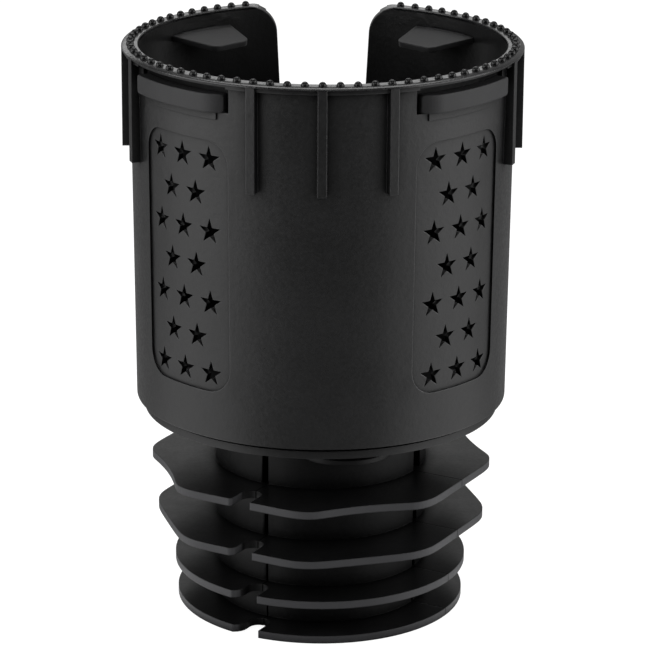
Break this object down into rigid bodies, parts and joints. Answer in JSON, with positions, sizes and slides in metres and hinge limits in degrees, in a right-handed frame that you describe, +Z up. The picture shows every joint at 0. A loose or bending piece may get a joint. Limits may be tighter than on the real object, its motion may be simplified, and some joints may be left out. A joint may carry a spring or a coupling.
{
  "type": "car cup holder",
  "caption": "Expanding car cup holder: a slotted cup with rubber grip tabs on a base of finned petals that spread as the cup is twisted.",
  "frame": {"origin": "on the axis of the cup and base, at the underside of the foot plate", "axes": "+Z up through the cup; -Y towards the front, with the handle slot at +Y; +X right as seen from the front"},
  "size_m": [0.1068, 0.1039, 0.1569],
  "materials": {
    "cup_plastic": "fine grain, moulded",
    "grip_rubber": "matt",
    "base_plastic": "moulded",
    "petal_plastic": "satin, moulded",
    "pin_steel": "ground",
    "steel": "zinc plated",
    "brass": "turned",
    "glide_plastic": "smooth"
  },
  "bodies": {
    "base": {"base_hub": "base_plastic", "foot_plate": "base_plastic", "foot_screws": "steel", "glide_ring": "glide_plastic"},
    "cup": {"cup_shell": "cup_plastic", "grip_tab_front_left": "grip_rubber", "grip_tab_front_right": "grip_rubber", "grip_tab_back_left": "grip_rubber", "grip_tab_back_right": "grip_rubber", "spiral_plate": "cup_plastic", "plate_screws": "steel", "threaded_insert": "brass", "pivot_bolt": "steel", "spring_washer": "steel", "flat_washer": "steel"},
    "front_petal": {"petal_front": "petal_plastic", "follower_pin_front": "pin_steel"},
    "right_petal": {"petal_right": "petal_plastic", "follower_pin_right": "pin_steel"},
    "back_petal": {"petal_back": "petal_plastic", "follower_pin_back": "pin_steel"},
    "left_petal": {"petal_left": "petal_plastic", "follower_pin_left": "pin_steel"}
  },
  "joints": [
    {"name": "cup_twist", "type": "hinge", "parent": "base", "child": "cup", "pos_m": [0, 0, 0.0557], "axis": [0, 0, -1], "range_deg": [0, 100]},
    {"name": "petal_front_slide", "type": "slide", "parent": "base", "child": "front_petal", "axis": [0.2756, -0.9613, 0], "range_m": [0, 0.0085]},
    {"name": "petal_right_slide", "type": "slide", "parent": "base", "child": "right_petal", "axis": [0.9613, 0.2756, 0], "range_m": [0, 0.0085]},
    {"name": "petal_back_slide", "type": "slide", "parent": "base", "child": "back_petal", "axis": [-0.2756, 0.9613, 0], "range_m": [0, 0.0085]},
    {"name": "petal_left_slide", "type": "slide", "parent": "base", "child": "left_petal", "axis": [-0.9613, -0.2756, 0], "range_m": [0, 0.0085]}
  ],
  "couplings": [
    {"joint": "petal_front_slide", "follows": "cup_twist", "m_per_rad": 0.00487},
    {"joint": "petal_right_slide", "follows": "cup_twist", "m_per_rad": 0.00487},
    {"joint": "petal_back_slide", "follows": "cup_twist", "m_per_rad": 0.00487},
    {"joint": "petal_left_slide", "follows": "cup_twist", "m_per_rad": 0.00487}
  ]
}
